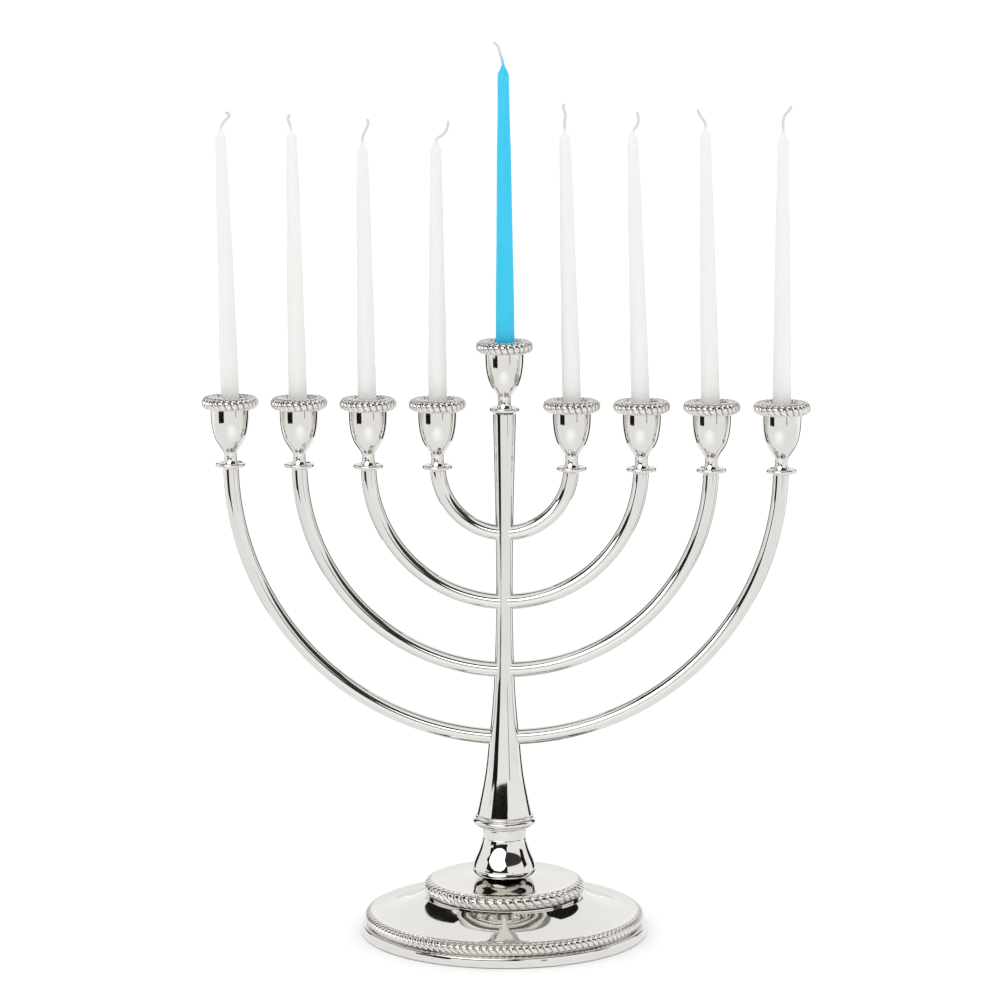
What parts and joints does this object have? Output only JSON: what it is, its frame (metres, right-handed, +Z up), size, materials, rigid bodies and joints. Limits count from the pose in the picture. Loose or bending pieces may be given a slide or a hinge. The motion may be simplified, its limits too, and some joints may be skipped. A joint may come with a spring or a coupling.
{
  "type": "menorah",
  "caption": "Silver-plated branched candle menorah: nested semicircular arms on a tapered stem, roped cups, raised servant cup, two-tier round foot, removable tapers.",
  "frame": {"origin": "centre of the foot on the standing surface, under the stem's axis", "axes": "+X along the row of candles, +Z up the stem, +Y from front to back"},
  "size_m": [0.3152, 0.15, 0.4657],
  "materials": {
    "silver_plate": "mirror-polished silver plate over brass",
    "silver_rope": "bright silver plate on rope-patterned border wire, slightly darker in the hollows",
    "steel_fixings": "plain zinc-plated steel",
    "felt": "pressed wool felt",
    "white_wax": "smooth white paraffin wax, faintly translucent",
    "blue_wax": "smooth bright blue paraffin wax, faintly translucent",
    "cotton_wick": "braided cotton dipped in wax"
  },
  "bodies": {
    "menorah": {"base_plate": "silver_plate", "base_rope_border": "silver_rope", "upper_tier": "silver_plate", "upper_rope_border": "silver_rope", "foot_bell": "silver_plate", "ring_moulding": "silver_plate", "stem": "silver_plate", "felt_pad": "felt", "tie_rod": "steel_fixings", "tie_washer": "steel_fixings", "tie_nut": "steel_fixings", "collar_discs": "silver_plate", "cup_studs": "steel_fixings", "arm_dowels": "steel_fixings", "arm_left_1": "silver_plate", "arm_left_2": "silver_plate", "arm_left_3": "silver_plate", "arm_left_4": "silver_plate", "arm_right_1": "silver_plate", "arm_right_2": "silver_plate", "arm_right_3": "silver_plate", "arm_right_4": "silver_plate", "cup_1": "silver_plate", "cup_2": "silver_plate", "cup_3": "silver_plate", "cup_4": "silver_plate", "cup_5": "silver_plate", "cup_6": "silver_plate", "cup_7": "silver_plate", "cup_8": "silver_plate", "cup_9": "silver_plate", "cup_rope_1": "silver_rope", "cup_rope_2": "silver_rope", "cup_rope_3": "silver_rope", "cup_rope_4": "silver_rope", "cup_rope_5": "silver_rope", "cup_rope_6": "silver_rope", "cup_rope_7": "silver_rope", "cup_rope_8": "silver_rope", "cup_rope_9": "silver_rope"},
    "taper_1": {"candle_1": "white_wax", "wick_1": "cotton_wick"},
    "taper_2": {"candle_2": "white_wax", "wick_2": "cotton_wick"},
    "taper_3": {"candle_3": "white_wax", "wick_3": "cotton_wick"},
    "taper_4": {"candle_4": "white_wax", "wick_4": "cotton_wick"},
    "taper_5": {"candle_5": "blue_wax", "wick_5": "cotton_wick"},
    "taper_6": {"candle_6": "white_wax", "wick_6": "cotton_wick"},
    "taper_7": {"candle_7": "white_wax", "wick_7": "cotton_wick"},
    "taper_8": {"candle_8": "white_wax", "wick_8": "cotton_wick"},
    "taper_9": {"candle_9": "white_wax", "wick_9": "cotton_wick"}
  },
  "joints": [
    {"name": "candle_1_lift", "type": "slide", "parent": "menorah", "child": "taper_1", "axis": [-0.0243, 0, 0.9997], "range_m": [0, 0.03]},
    {"name": "candle_2_lift", "type": "slide", "parent": "menorah", "child": "taper_2", "axis": [-0.0166, 0, 0.9999], "range_m": [0, 0.03]},
    {"name": "candle_3_lift", "type": "slide", "parent": "menorah", "child": "taper_3", "axis": [-0.014, 0, 0.9999], "range_m": [0, 0.03]},
    {"name": "candle_4_lift", "type": "slide", "parent": "menorah", "child": "taper_4", "axis": [-0.0056, 0, 1], "range_m": [0, 0.03]},
    {"name": "candle_5_lift", "type": "slide", "parent": "menorah", "child": "taper_5", "axis": [-0.0073, 0, 1], "range_m": [0, 0.03]},
    {"name": "candle_6_lift", "type": "slide", "parent": "menorah", "child": "taper_6", "axis": [-0.029, 0, 0.9996], "range_m": [0, 0.03]},
    {"name": "candle_7_lift", "type": "slide", "parent": "menorah", "child": "taper_7", "axis": [-0.0347, 0, 0.9994], "range_m": [0, 0.03]},
    {"name": "candle_8_lift", "type": "slide", "parent": "menorah", "child": "taper_8", "axis": [-0.0279, 0, 0.9996], "range_m": [0, 0.03]},
    {"name": "candle_9_lift", "type": "slide", "parent": "menorah", "child": "taper_9", "axis": [-0.0058, 0, 1], "range_m": [0, 0.03]}
  ]
}
